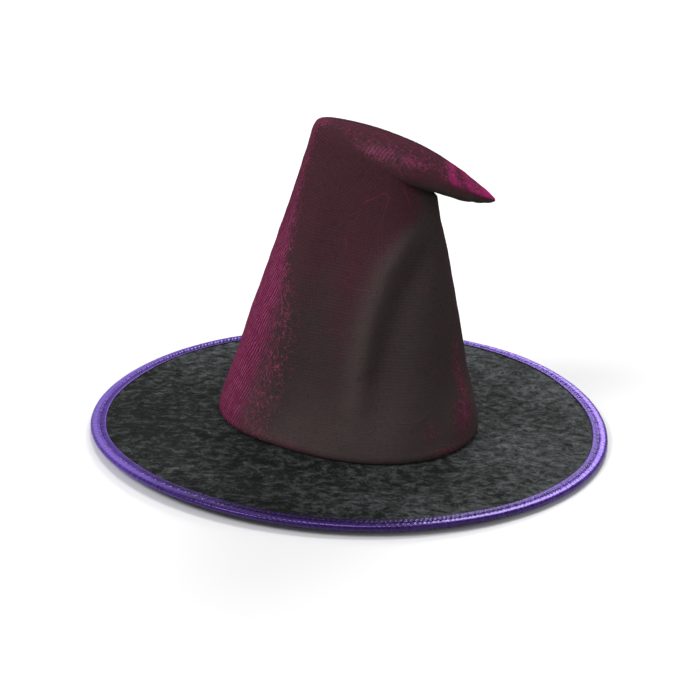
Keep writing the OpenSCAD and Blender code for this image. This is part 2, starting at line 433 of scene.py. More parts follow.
def crown_grid(ncol, step, seam=True, pleat=1.0, detail=1.0, t_end=None):
    """Points of the cone's outer face, its angles and its heights."""
    end = tk[-1] if t_end is None else t_end
    ts = [0.0]
    while ts[-1] < end:
        d = abs(ts[-1] - T_FOLD)
        s = step * (0.30 + 0.70 * smooth01((d - 3) / 16))
        if ts[-1] < 10:
            s = min(s, step * 0.45)
        ts.append(ts[-1] + s)
    ts = np.array(ts)
    ts *= end / ts[-1]
    off = [0, 0.3, 0.7, 1.2, 1.9] if seam else [0]
    a = np.concatenate([off, np.linspace(2.8, 357.2, ncol), 360 - np.array(off[::-1])]) if seam \
        else np.arange(ncol) * 360.0 / ncol
    phi = np.radians(90 + a)
    S = sections(ts)
    L, Rr, D = S[:, [0, 1]], S[:, [2, 3]], S[:, 4]
    C, W = (L + Rr) / 2, (Rr - L) / 2
    c, s = np.cos(phi)[None, :], np.sin(phi)[None, :]
    hw = np.hypot(W[:, 0], W[:, 1])
    X = C[:, 0:1] + W[:, 0:1] * c
    Z = C[:, 1:2] + W[:, 1:2] * c
    # round sections, but pinched to an edge on the notch's side at the fold
    pin = np.exp(-((ts - T_FOLD + 2) / 38) ** 2)[:, None]
    pin = np.where((ts > T_FOLD)[:, None], np.maximum(pin, 0.35), pin)
    po = 1 + 0.75 * pin * smooth01((c + 0.25) / 1.25)
    # the base is a little oval and set askew, as a soft head opening is
    low = (1 - smooth01((C[:, 1] - 5) / 130))[:, None]
    Y = D[:, None] * np.sign(s) * np.abs(s) ** po + low * (3.0 - 9.0 * c)
    g = pull(phi)[None, :] * low
    X, Y = X - g * c, Y - g * s
    Z = Z + rise(phi)[None, :] * (1 - smooth01((C[:, 1:2] - 5) / 60))
    # outward direction within the section
    wd = W / hw[:, None]
    nc, ns = c / hw[:, None], s / D[:, None]
    q = np.hypot(nc, ns)
    nc, ns = nc / q, ns / q
    arc = np.hypot(hw[:, None] * s, D[:, None] * c)       # mm per radian
    ang = np.degrees(np.broadcast_to(phi, X.shape)) % 360
    zc = Z.copy()
    zrow = C[:, 1:2]

    def away(a0):                                         # arc distance from a meridian, mm
        return np.radians((ang - a0 + 180) % 360 - 180) * arc

    disp = np.zeros_like(X)
    # ridge that runs from the notch down the front, and the valley beside it
    zr = np.array([0, 34, 68, 103, 135, 155, 168, 176])
    xr = np.array([2, 3, 5, 11, 21, 31, 40, 47])
    Xr = np.interp(zrow[:, 0], zr, xr)
    cosr = np.clip((Xr - C[:, 0]) / W[:, 0], -0.95, 0.95)
    ar = 360 - np.degrees(np.arccos(cosr))
    dr = np.radians(ang - ar[:, None]) * arc
    dr = np.where(ang < 150, 999, dr)
    body = smooth01((T_FOLD - 6 - ts) / 26)[:, None]
    f1 = smooth01((zrow - 6) / 70) * body * (1 - smooth01((zrow - 138) / 38))
    disp += 3.3 * np.exp(-(dr / 9.5) ** 2) * f1
    wv = 13 - 3 * smooth01((zrow - 120) / 50)
    disp += -7.2 * np.exp(-((dr - 17.5) / wv) ** 2) * f1
    disp += 1.2 * np.exp(-((dr - 46) / 16) ** 2) * f1
    disp += -2.2 * np.exp(-((dr + 26) / 15) ** 2) * f1
    # soft edge between the front panel and the left flank
    f2 = smooth01((zrow - 4) / 30) * (1 - smooth01((zrow - 150) / 50)) * body
    d2 = away(229)
    disp += 2.8 * np.exp(-(d2 / 9) ** 2) * f2
    disp += -2.0 * np.exp(-((d2 - 19) / 12) ** 2) * f2
    disp += -1.8 * np.exp(-((d2 + 24) / 14) ** 2) * f2
    # hollows in the back, so that it isn't a plain cone
    for a0, z0, da, dz, h in ((55, 120, 22, 48, -3.2), (128, 70, 24, 42, -2.8), (100, 165, 24, 30, 1.6),
                              (20, 60, 20, 40, -2.0), (160, 130, 18, 40, 1.6), (345, 25, 12, 16, 1.6)):
        disp += h * np.exp(-(away(a0) / da) ** 2 - ((zrow - z0) / dz) ** 2) * body
    # the peak: a crest along the top and a flatter near side
    pk = smooth01((ts - T_FOLD - 4) / 30)[:, None]
    disp += -1.3 * np.exp(-(away(250) / 16) ** 2) * pk * detail
    disp += -1.0 * np.exp(-(away(118) / 14) ** 2) * pk * detail
    # crumpled tip
    tp = smooth01((ts - tk[-1] + 42) / 22)[:, None]
    disp += tp * 0.9 * wobble(X, Y, Z, 22, 5, 2) * detail
    # slow unevenness and a little crumple everywhere
    disp += (0.75 * wobble(X, Y, Z, 85, 3, 2) + 0.22 * wobble(X, Y, Z, 26, 4, 3)) * detail \
        * smooth01((zrow - 5) / 14) * smooth01(hw / 26)[:, None]
    # puckers over the base seam
    run = np.radians(ang) * 96
    disp += 0.35 * np.sin(run / 8.4 * 6.283 + 1.5 * np.sin(run / 31)) * np.exp(-((zrow - 6) / 6) ** 2) * detail
    # back seam sinks in
    if seam:
        disp += -0.95 * np.exp(-(away(90) / 1.5) ** 2) * smooth01(hw / 14)[:, None]
    X = X + disp * nc * wd[:, 0:1]
    Z = Z + disp * nc * wd[:, 1:2]
    Y = Y + disp * ns
    # the crease: the cloth tucks in at the notch, and the tuck runs on round the
    # front and the back as a groove that fades
    if pleat > 0:
        rr = np.interp(ts, [tk[FOLD_ROW - 1] - 1, T_FOLD, tk[FOLD_ROW + 1]], [-1, 0, 1])
        vee = np.clip(1 - np.abs(rr), 0, 1)[:, None]
        da = (ang + 180) % 360 - 180
        dep = 3.8 * pleat * vee * np.exp(-np.abs(da / 24.0) ** 2.4)
        X = X + dep * wd[:, 0:1] * -1
        Z = Z + dep * wd[:, 1:2] * -1
        r2 = np.interp(ts, [T_FOLD - 11, T_FOLD + 1, T_FOLD + 8], [-1, 0, 1])
        groove = np.clip(1 - np.abs(r2), 0, 1)[:, None] ** 1.5
        dep = 2.8 * min(pleat, 1) * groove * np.exp(-np.abs((np.abs(da) - 46) / 24.0) ** 2.6)
        X = X - dep * nc * wd[:, 0:1]
        Z = Z - dep * nc * wd[:, 1:2]
        Y = Y - dep * ns
    P = np.stack([X, Y, Z], -1)
    v = np.broadcast_to(ts[:, None], X.shape)
    # length round the cone, unrolled, for the weave
    uu = np.radians(a)[None, :] * (hw * 0.5 + D * 0.5)[:, None]
    cloth = np.stack([np.broadcast_to(uu, X.shape), v, np.zeros_like(X)], -1)
    return P, ang, zc, ts, cloth, dict(dr=dr, hw=hw, disp=disp)


# --------------------------------------------------------------- materials
def shot_fabric():
    """Two-colour taffeta: a dark warp and a magenta weft; the magenta where the cloth turns away is painted sheen."""
    k = Mat("shot_fabric")
    co = k.coord()
    cloth = k.attr("cloth", "Vector")
    u, v, _ = k.sep(cloth)
    tb, tm, ck, tp = k.attr("tone_b"), k.attr("tone_m"), k.attr("tone_c"), k.attr("tone_p")
    half = lambda n: k.math("SUBTRACT", n, 0.5)
    mul = lambda a, b: k.math("MULTIPLY", a, b)
    plus = lambda a, b, c=False: k.math("ADD", a, b, c)
    mid = k.noise(co, 62, 4, 0.6)
    blot = k.noise(co, 230, 4, 0.68, 0.5, w=1.3)
    grain = k.noise(co, 420, 3, 0.7)
    yarn = k.noise(co, 1050, 2, 0.75, w=4.4)
    big = k.noise(co, 17, 3, 0.55, w=3.1)
    # thin crinkles: contour lines of warped noise
    line = lambda n, w: k.remap(k.math("ABSOLUTE", half(n)), 0.0, w, 1, 0, True)
    lane = k.noise(co, 21, 1, 0.4, 0.35, w=8.2)
    keep = k.remap(k.noise(co, 48, 2, 0.5, w=7.7), 0.44, 0.54, 0, 1, True)
    hair = mul(line(lane, 0.0065), keep)
    crease = mul(line(k.noise(co, 120, 2, 0.55, 0.5, w=2.9), 0.022),
                 k.remap(k.noise(co, 90, 2, 0.5, w=6.1), 0.44, 0.6, 0, 1, True))
    shard = plus(line(k.noise(co, 210, 2, 0.5, 0.4, w=5.3), 0.030), mul(crease, 0.8), True)
    # weave: diagonal ribs, and a finer cross rib
    rib = k.sine(plus(plus(mul(u, 0.87), mul(v, 0.24)), mul(half(mid), 6.0)), 2.4)
    rib2 = k.sine(plus(mul(v, 0.80), mul(u, 0.60)), 1.5)
    ribbed = mul(tm, 0.9)
    mb = plus(tb, mul(half(mid), 0.9))
    mb = plus(mb, mul(half(grain), 1.3))
    mb = plus(mb, mul(half(yarn), 1.2), True)
    mm = plus(tm, mul(half(blot), mul(plus(ck, 0.4), 0.55)))
    mm = plus(mm, mul(half(big), 0.25))
    mm = plus(mm, mul(half(grain), 0.75))
    mm = plus(mm, mul(half(yarn), 0.7))
    mm = plus(mm, mul(half(rib), mul(tm, 0.55)))
    mm = k.math("SUBTRACT", mm, mul(k.remap(blot, 0.54, 0.42, 0, 1, True), mul(ck, 0.38)))
    mm = mul(mm, k.remap(tm, 0.02, 0.22, 0, 1, True))
    mm = plus(mm, 0.0, True)
    col = k.mix(mb, lin(51, 46, 45), lin(63, 36, 43))
    _, _, zz = k.sep(co)
    # painted light: the crown is paler from 75 mm down to its base
    col = k.mix(k.remap(zz, 0.075, 0.015, 0, 0.62, True), col, lin(75, 66, 65))
    hot = k.mix(k.remap(tm, 0.35, 0.95, 0, 1, True), lin(80, 34, 51), lin(106, 25, 66))
    uneven = k.remap(k.noise(co, 150, 3, 0.6, 0.6, w=11.0), 0.36, 0.60, 0.25, 1, True)
    # painted highlight on the rib crests and painted shade in the rib troughs, on the flank
    crest = mul(k.remap(rib, 0.35, 0.95, 0, 1, True), uneven)
    hot = k.mix(mul(crest, mul(tm, 0.58)), hot, lin(172, 88, 124))
    trough = mul(k.remap(rib, 0.42, 0.05, 0, 1, True), uneven)
    hot = k.mix(mul(trough, mul(tm, 0.72)), hot, lin(34, 9, 24))
    col = k.mix(mm, col, hot)
    warp_t, weft_t = k.sine(u, 2.1), k.sine(v, 2.4)
    grid = mul(mul(warp_t, weft_t), k.remap(grain, 0.38, 0.60, 0.3, 1, True))
    col = k.mix(mul(grid, 0.20), col, lin(98, 80, 82))
    # painted highlights along the crinkle lines and hairline creases
    col = k.mix(mul(shard, mul(ck, 0.80)), col, lin(150, 66, 102))
    hl = mul(hair, plus(mul(tb, 0.42), mul(tm, 0.35), True))
    col = k.mix(hl, col, lin(112, 46, 74))
    rib3 = k.sine(k.math("SUBTRACT", mul(u, 0.80), mul(v, 0.60)), 1.7)
    # painted sheen: a pale cross-hatch on a patch of the peak
    cross = mul(mul(rib3, rib2), mul(tp, mul(k.remap(grain, 0.35, 0.6, 0, 1, True), 0.7)))
    col = k.mix(cross, col, lin(140, 96, 118))
    tt, tr = k.attr("tone_t"), k.attr("tone_r")
    col = k.mix(mul(tt, k.remap(k.noise(co, 135, 4, 0.62, 0.8, w=12.0), 0.40, 0.58, 0.0, 0.9, True)), col, lin(168, 40, 108))
    # painted highlight along the ridge
    col = k.mix(mul(tr, 0.26), col, lin(90, 79, 77))
    dark = mul(k.math("SUBTRACT", 1.0, rib3), plus(0.16, mul(tb, 0.06)))
    col = k.mix(dark, col, lin(20, 11, 14))
    col = k.mix(mul(k.remap(yarn, 0.54, 0.76, 0, 1, True), 0.28), col, lin(98, 68, 76))
    pit = mul(k.remap(grain, 0.42, 0.33, 0, 1, True), 0.22)
    col = k.mix(pit, col, lin(16, 12, 13))
    k.put("Base Color", col)
    k.put("Roughness", k.remap(mid, 0.3, 0.7, 0.44, 0.60))
    k.put("Specular IOR Level", 0.0)
    k.put("Sheen Weight", 0.03)
    k.put("Sheen Roughness", 0.32)
    k.put("Sheen Tint", lin(190, 50, 120))
    h = plus(mul(rib, mul(ribbed, 0.38)), mul(hair, 0.25))
    h = plus(h, mul(shard, mul(ck, 0.45)))
    h = plus(h, mul(mid, 0.9))
    h = plus(h, mul(grain, 0.35))
    h = plus(h, mul(blot, mul(plus(ck, 0.2), 0.8)))
    k.put("Normal", k.bump(h, 0.0011, 0.75))
    return k.m


def velvet():
    """Crushed velvet: flattened patches of pile, some dark, some catching the light."""
    k = Mat("velvet")
    co = k.coord()
    w = k.vmath("ADD", co, k.vmath("SCALE", k.noisev(co, 42, 3), scale=0.016))
    w = k.vmath("MULTIPLY", w, (0.80, 1.0, 1.0))
    p1 = k.noise(w, 150, 5, 0.68, 0.25)
    p2 = k.noise(w, 520, 3, 0.7, 0.2, w=2.2)
    p3 = k.noise(co, 11, 3, 0.5, w=5.0)
    pile = k.noise(co, 1500, 2, 0.7)
    x, y, _ = k.sep(co)
    # painted light: the velvet is made lighter towards +x and +y
    painted_light_gradient = k.math("ADD", k.math("MULTIPLY", x, 1.5), k.math("MULTIPLY", y, 1.1))
    a = k.math("ADD", k.math("MULTIPLY", p1, 0.62), k.math("MULTIPLY", p2, 0.30))
    a = k.math("ADD", a, k.math("MULTIPLY", k.math("SUBTRACT", p3, 0.5), 0.22))
    a = k.math("ADD", a, k.math("MULTIPLY", k.math("SUBTRACT", pile, 0.5), 0.22))
    a = k.math("ADD", a, k.math("MULTIPLY", painted_light_gradient, 0.13))
    col = k.ramp(a, [(0.37, lin(9, 9, 8)), (0.415, lin(17, 17, 16)), (0.442, lin(39, 40, 39)),
                     (0.51, lin(51, 53, 53)), (0.60, lin(79, 83, 85))])
    # the x term thins the dark spots towards +x, part of the same painted light
    spot = k.remap(k.math("ADD", k.noise(w, 185, 3, 0.60, 0.3, w=9.3), k.math("MULTIPLY", x, 0.16)), 0.425, 0.385, 0, 0.9, True)
    col = k.mix(spot, col, lin(13, 12, 11))
    k.put("Base Color", col)
    k.put("Roughness", k.remap(a, 0.38, 0.6, 0.9, 0.62))
    k.put("Specular IOR Level", 0.06)
    k.put("Sheen Weight", 0.10)
    k.put("Sheen Roughness", 0.35)
    k.put("Sheen Tint", lin(190, 205, 212))
    h = k.math("ADD", k.math("MULTIPLY", a, 1.0), k.math("MULTIPLY", pile, 0.12))
    k.put("Normal", k.bump(h, 0.0016, 0.8))
    return k.m


def satin():
    """Glossy violet satin with fine puckers pulled by the stitching."""
    k = Mat("satin")
    co = k.coord()
    run = k.attr("run")          # mm along the edge
    prof = k.attr("prof")        # 0 at the lip, 1 on the outer side
    n = k.noise(co, 90, 2, 0.5)
    fine = k.noise(k.comb(k.math("MULTIPLY", run, 0.42), k.math("MULTIPLY", prof, 1.2), 0.0), 1.0, 2, 0.5)
    lip = k.remap(prof, 0.38, 0.30, 0, 1, True)
    col = k.mix(k.remap(n, 0.35, 0.65, 0, 1, True), lin(44, 20, 90), lin(60, 32, 118))
    col = k.mix(k.math("MULTIPLY", k.remap(fine, 0.42, 0.66, 0, 1, True), 0.5), col, lin(92, 62, 160))
    # painted shade: the inner lip is darkened, with darker streaks along it
    col = k.mix(k.math("MULTIPLY", lip, k.remap(fine, 0.55, 0.40, 0, 0.55, True)), col, lin(22, 9, 46))
    col = k.mix(k.math("MULTIPLY", lip, 0.45), col, lin(24, 10, 50))
    x, y, _ = k.sep(co)
    # painted light: the satin is made lighter towards the left end
    col = k.mix(k.remap(x, -0.110, -0.175, 0, 0.30, True), col, lin(112, 84, 184))
    col = k.mix(k.remap(y, -0.105, -0.178, 0, 0.78, True), col, lin(13, 6, 26))     # painted shade: darker towards the front
    # painted highlight: a lighter band along the top of the roll, strongest towards the left end
    crown_of_roll = k.math("MULTIPLY", k.remap(prof, 0.50, 0.66, 0, 1, True), k.remap(prof, 0.95, 0.82, 0, 1, True))
    ends = k.remap(x, -0.09, -0.17, 0.08, 0.55, True)
    col = k.mix(k.math("MULTIPLY", crown_of_roll, ends), col, lin(150, 124, 220))
    k.put("Base Color", col)
    k.put("Metallic", 0.35)
    k.put("Roughness", k.math("ADD", k.remap(fine, 0.3, 0.7, 0.25, 0.32), k.math("MULTIPLY", lip, 0.16)))
    k.put("Specular IOR Level", 0.9)
    k.put("Specular Tint", lin(184, 145, 255))
    k.put("Sheen Weight", 0.08)
    k.put("Sheen Roughness", 0.3)
    k.put("Sheen Tint", lin(170, 130, 245))
    k.put("Normal", k.bump(fine, 0.0004, 0.5))
    return k.m


def cloth_mat(name, c0, c1, pitch, rough=0.8, bump=0.0004, spec=0.25, sheen=0.1, fleck=0.35):
    """A plain or twill cloth in object space."""
    k = Mat(name)
    co = k.coord()
    x, y, z = k.sep(co)
    a = k.sine(k.math("ADD", k.math("MULTIPLY", x, 1000.0), k.math("MULTIPLY", z, 700.0)), pitch)
    b = k.sine(k.math("ADD", k.math("MULTIPLY", y, 1000.0), k.math("MULTIPLY", z, 700.0)), pitch)
    wv = k.math("MULTIPLY", a, b)
    n = k.noise(co, 90, 4, 0.6)
    f = k.noise(co, 900, 2, 0.6)
    m = k.math("ADD", k.math("MULTIPLY", wv, 0.45), k.math("MULTIPLY", n, 0.5))
    m = k.math("ADD", m, k.math("MULTIPLY", k.math("SUBTRACT", f, 0.5), fleck), True)
    k.put("Base Color", k.mix(m, lin(*c0), lin(*c1)))
    k.put("Roughness", k.remap(n, 0.3, 0.7, rough - 0.06, rough + 0.06))
    k.put("Specular IOR Level", spec)
    k.put("Sheen Weight", sheen)
    k.put("Sheen Roughness", 0.4)
    h = k.math("ADD", k.math("MULTIPLY", wv, 0.7), k.math("MULTIPLY", f, 0.4))
    k.put("Normal", k.bump(h, bump, 0.7))
    return k.m


def foam_mat():
    k = Mat("foam")
    co = k.coord()
    cell = k.voro(co, 900, "F1")
    n = k.noise(co, 60, 3)
    k.put("Base Color", k.mix(n, lin(44, 44, 45), lin(62, 62, 63)))
    k.put("Roughness", k.remap(n, 0.3, 0.7, 0.82, 0.92))
    k.put("Normal", k.bump(cell, 0.0004, 0.8))
    return k.m


def steel_mat():
    k = Mat("spring_steel")
    co = k.coord()
    n = k.noise(co, 300, 3, 0.6)
    k.put("Base Color", k.mix(n, lin(150, 152, 156), lin(190, 192, 196)))
    k.put("Metallic", 1.0)
    k.put("Roughness", k.remap(n, 0.3, 0.7, 0.28, 0.42))
    k.put("Normal", k.bump(n, 0.0001, 0.5))
    return k.m


def thread_mat(name, c0, c1):
    k = Mat(name)
    co = k.coord()
    n = k.noise(co, 2600, 2, 0.6)
    k.put("Base Color", k.mix(n, lin(*c0), lin(*c1)))
    k.put("Roughness", k.remap(n, 0.3, 0.7, 0.45, 0.62))
    k.put("Specular IOR Level", 0.3)
    k.put("Normal", k.bump(n, 0.0002, 0.8))
    return k.m


def floor_mat():
    k = Mat("floor")
    n = k.noise(k.coord(), 3, 2)
    k.put("Base Color", k.mix(n, lin(226, 226, 227), lin(229, 229, 230)))
    k.put("Roughness", 0.8)
    k.put("Specular IOR Level", 0.15)
    _, y, _ = k.sep(k.coord())
    k.put("Emission Color", (1.0, 1.0, 1.0, 1.0))
    k.put("Emission Strength", k.remap(y, 1.1, 2.1, 0, 0.5, True))     # the studio's lit far end
    return k.m


M_SHOT, M_VELVET, M_SATIN = shot_fabric(), velvet(), satin()
M_INTER = cloth_mat("interlining", (40, 39, 40), (66, 65, 66), 2.2, 0.9, 0.0005)
M_LINING = cloth_mat("lining", (22, 21, 24), (46, 44, 50), 0.9, 0.45, 0.0002, 0.45, 0.2)
M_UNDER = cloth_mat("underlining", (20, 20, 22), (46, 46, 50), 1.3, 0.85, 0.0004)
M_BAND = cloth_mat("band_twill", (22, 22, 25), (56, 56, 62), 1.6, 0.8, 0.0006)
M_LABEL = cloth_mat("label", (214, 213, 208), (236, 235, 230), 0.7, 0.5, 0.0002, 0.4, 0.2, 0.1)
M_FOAM, M_STEEL = foam_mat(), steel_mat()
M_THREAD = thread_mat("thread_violet", (12, 6, 26), (34, 18, 64))
M_THREAD_BLACK = thread_mat("thread_black", (20, 20, 22), (70, 70, 76))


# ------------------------------------------------------------- outer cloth
P, ang, zc, ts, cloth, ex = crown_grid(168, 2.1)
dr, hw = ex["dr"], ex["hw"]
X3, Z3 = P[..., 0], P[..., 2]
zrow = Z3.mean(1, keepdims=True)
inpeak = smooth01((ts - T_FOLD - 2) / 14)[:, None]
zb = np.array([0, 40, 70, 95, 112, 124, 136, 156, 176, 211, 230])
bb = np.array([229, 230, 232, 231, 228, 221, 215, 211, 209, 206, 202])
B = np.interp(Z3, zb, bb)
cosa = np.cos(np.radians(ang))


def blob(z0, dz, a0, da):
    return np.exp(-((Z3 - z0) / dz) ** 2 - (((ang - a0 + 180) % 360 - 180) / da) ** 2)


# the flank: painted sheen, brightest where the cloth turns away, duller towards the front panel
flank = smooth01((B - ang) / 6.0 + 0.5) * (0.22 + 0.78 * smooth01((ang - 128) / 34))
flank *= 0.26 + 0.74 * smooth01((B - 2 - ang) / (8 + 21 * smooth01((130 - Z3) / 35)))
flank = flank * smooth01((ang - 62) / 70) * (1 - 0.85 * inpeak)
flank *= 0.62 + 0.38 * smooth01((185 - Z3) / 100)
along = X3                                             # the peak runs out along X
tip = smooth01((along - 56) / 8) * inpeak * (0.55 + 0.45 * smooth01((along - 74) / 6)
                                             + 0.5 * np.exp(-((along - 67) / 5) ** 2))
tip *= 1 - 0.8 * np.exp(-((along - 75.5 - (Z3 - 187) * -0.5) / 2.2) ** 2)      # painted shade of a fold across it
tip *= 1 - smooth01((cosa + 0.28) / 0.34)                              # green-black underneath
patch = np.exp(-((along - 14) / 15) ** 2) * inpeak * np.exp(-((ang - 243) / 17) ** 2)
patch2 = np.exp(-((along - 36) / 10) ** 2) * inpeak * np.exp(-((ang - 246) / 14) ** 2) * 0.5
patch3 = np.exp(-((along - 46) / 10) ** 2) * inpeak * np.exp(-((ang - 236) / 18) ** 2) * 0.55
mottle = 0.19 * inpeak * np.exp(-((ang - 232) / 34) ** 2) * (1 - smooth01((cosa - 0.05) / 0.3))
topline = np.exp(-((ang - 196) / 16) ** 2) * inpeak * 0.30 * (1 - smooth01((along - 50) / 20))
base_l = np.maximum(blob(5, 9, 241, 15) * 0.62, blob(5, 6, 255, 15) * 0.56)
base_r = blob(54, 24, 337, 5) * 0.50 + blob(9, 4, 318, 13) * 0.42 + blob(25, 8, 309, 4) * 0.38 \
    + blob(27, 13, 332, 8) * 0.58
# painted sheen on the right side, where the cloth turns away
right_s = np.exp(-((ang % 360 - 34) / 24) ** 2) * 0.35 * (1 - inpeak)
tone_m = np.clip(np.maximum.reduce([flank, tip * 0.95, base_l, base_r, right_s, patch * 0.66, patch2 * 1.5, patch3, mottle, topline]), 0, 1)
left_of_ridge = np.where(ang < 150, 0.30 + 0.35 * smooth01((ang - 20) / 130), 1 - smooth01((dr + 12) / 16))
tone_b = (0.12 + 0.88 * smooth01((Z3 - 70) / 110)) * left_of_ridge
tone_b = tone_b * (1 - inpeak) + inpeak * (1.0 - 1.0 * smooth01((cosa - 0.15) / 0.4))
tone_b = np.clip(tone_b + 0.30 * np.exp(-((ang - 262) / 8) ** 2) * np.exp(-((Z3 - 110) / 60) ** 2), 0, 1)
tone_c = np.clip(np.exp(-((ang - B + 6) / 8) ** 2) * (1 - 0.5 * smooth01((Z3 - 110) / 60)) * (1 - inpeak)
                 + 0.5 * tip + 2.4 * mottle + 0.6 * patch3 + 0.4 * patch2 + base_r * 1.4 + 0.30 * flank + base_l * 0.6, 0, 1)
# where the painted sheen cross-hatch lies on the peak
tone_p = np.clip(patch + 0.5 * patch2, 0, 1)
tone_t = np.clip(tip * smooth01((along - 60) / 12), 0, 1)
# where the painted highlight along the ridge lies
tone_r = np.exp(-((dr + 2) / 9.0) ** 2) * smooth01((Z3 - 14) / 40) * (1 - smooth01((Z3 - 142) / 34)) * (1 - inpeak)
crown = shell("crown_cloth", P, 0.0, 0.5, M_SHOT, False,
              {"cloth": cloth, "tone_b": tone_b, "tone_m": tone_m, "tone_c": tone_c, "tone_p": tone_p,
               "tone_t": tone_t, "tone_r": tone_r}, cap=True)
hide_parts("crown_shell", "peak_shell")
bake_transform(crown)

# interlining: follows the cloth, one step inside it
P2, *_ = crown_grid(96, 3.4, seam=False, pleat=0.94, t_end=tk[-3])
inter = shell("crown_interlining_cloth", P2, 0.9, 2.1, M_INTER, True, cap=True)
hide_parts("crown_interlining", "peak_interlining")
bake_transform(inter)

# lining: a bag that stops under the fold
P3, _, _, t3, _, _ = crown_grid(96, 3.4, seam=False, pleat=0, t_end=tk[9] + 8)
N3 = grid_normals(P3, True)
Q3 = P3 - N3 * (3.6 + 0.5 * wobble(*P3.transpose(2, 0, 1), 40, 9)[..., None])
Q3[:, :, 2] = np.maximum(Q3[:, :, 2], top + 0.4)
last = Q3[-1]
cen = last.mean(0)
rings = [cen + (last - cen) * f + np.array([0.35, 0, 1]) * (1 - f ** 2) * 2.5
         for f in (0.97, 0.9, 0.8, 0.66, 0.5, 0.34, 0.2, 0.08)]
Q3 = np.concatenate([Q3, np.array(rings)])
lining = shell("crown_lining_cloth", Q3, 0.0, 0.4, M_LINING, True, cap=True)
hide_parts("crown_lining")
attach(lining, "hat")


# ------------------------------------------------------------ brim's layers
def brim_sheet(name, z0, z1, mat, nf=58, nt=360, bumpy=0.0, seed=1, r_out=None, dip=0.0):
    """A ring of cloth or board that follows the brim's wave."""
    f = np.linspace(0, 1, nf)[:, None]
    th = np.linspace(0, 2 * np.pi, nt, endpoint=False)[None, :]
    ro = r_out or EDGE - 0.2
    xi, yi = CX + (HOLE + 0.1) * np.cos(th), (HOLE + 0.1) * np.sin(th)
    xi, yi = askew(xi, yi)
    xo, yo = ro * np.cos(th), ro * np.sin(th)
    x, y = xo + (xi - xo) * f, yo + (yi - yo) * f       # outer edge first, so the normal is up
    pressed = dip * smooth01((np.hypot(x, y) - 158) / 20)    # the binding nips the layers
    z = z1 + wave(x, y) - pressed
    if bumpy:
        rr = np.hypot(x - CX, y)
        mask = smooth01((rr - 98) / 12) * smooth01((181 - np.hypot(x, y)) / 6)
        z = z + bumpy * mask * (0.6 * wobble(x, y, 0 * x, 46, seed, 2) + 0.4 * wobble(x, y, 0 * x, 15, seed + 1, 2))
    Pm = np.stack([x, y, z], -1)[::-1]
    up = np.zeros_like(Pm)
    up[..., 2] = 1
    thick = z1 - z0 - (pressed if z1 - z0 > 1.5 else 0)       # only the board gets thinner
    ob = shell(name, Pm[::-1], 0.0, thick, mat, True, nrm=up)
    return ob


velvet_ob = brim_sheet("brim_velvet_cloth", top - 0.85, top, M_VELVET, bumpy=0.35, seed=21, dip=1.1)
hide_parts("brim_velvet")
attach(velvet_ob, "hat")
foam_ob = brim_sheet("brim_foam_board", under + 0.55, top - 0.95, M_FOAM, nf=24, nt=240, dip=1.1)
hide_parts("brim_core")
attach(foam_ob, "hat")
under_ob = brim_sheet("brim_under_cloth", under, under + 0.5, M_UNDER, nf=40, nt=300)
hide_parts("brim_underlining")
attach(under_ob, "hat")


# ------------------------------------------------------------ bound edge
def closed_profile(pts, n):
    """A smooth closed curve through pts, as n points evenly spaced."""
    p = np.array(pts, float)
    m = len(p)
    t = np.arange(m * 24) / 24.0
    i = t.astype(int)
    f = (t - i)[:, None]
    a, b, c, d = p[(i - 1) % m], p[i % m], p[(i + 1) % m], p[(i + 2) % m]
    q = 0.5 * (2 * b + (c - a) * f + (2 * a - 5 * b + 4 * c - d) * f ** 2 + (3 * b - a - 3 * c + d) * f ** 3)
    L = np.concatenate([[0], np.cumsum(np.linalg.norm(np.diff(np.vstack([q, q[:1]]), axis=0), axis=1))])
    s = np.linspace(0, L[-1], n, endpoint=False)
    qq = np.vstack([q, q[:1]])
    return np.stack([np.interp(s, L, qq[:, 0]), np.interp(s, L, qq[:, 1])], -1)


R0 = ROLL_R
out = [(-7.9, 2.35), (-7.8, 2.95), (-7.0, 3.12), (-5.9, 3.02), (-4.6, 2.62), (-4.05, 2.30), (-3.55, 2.42),
       (-2.7, 2.95), (-1.5, 3.30), (0.0, 3.32), (1.6, 2.92), (2.75, 1.85), (3.28, 0.4), (3.15, -0.95),
       (2.62, -1.75), (2.42, -2.15), (2.05, -2.62), (1.0, -3.12), (-0.4, -3.30), (-1.9, -3.10), (-3.3, -2.45),
       (-4.1, -2.30), (-5.2, -2.62), (-6.8, -2.72), (-7.7, -2.60), (-7.75, -2.05)]
inn = [(-6.4, -1.95), (-3.6, -1.92), (-2.6, -2.1), (-0.6, -2.72), (1.2, -2.4), (2.3, -1.1), (2.55, 0.6),
       (1.6, 2.15), (0, 2.72), (-1.5, 2.6), (-2.9, 2.30), (-3.6, 2.26), (-6.4, 2.28)]
squash = lambda q: [(x, z * (0.54 if z > 0 else 0.86)) for x, z in q]     # pressed flatter than the hoop's tube
out, inn = squash(out), squash(inn)
prof = closed_profile(out + inn, 62)
NT = 1380
th = np.linspace(0, 2 * np.pi, NT, endpoint=False)
run = th * ROLL_C
r = np.random.RandomState(5)
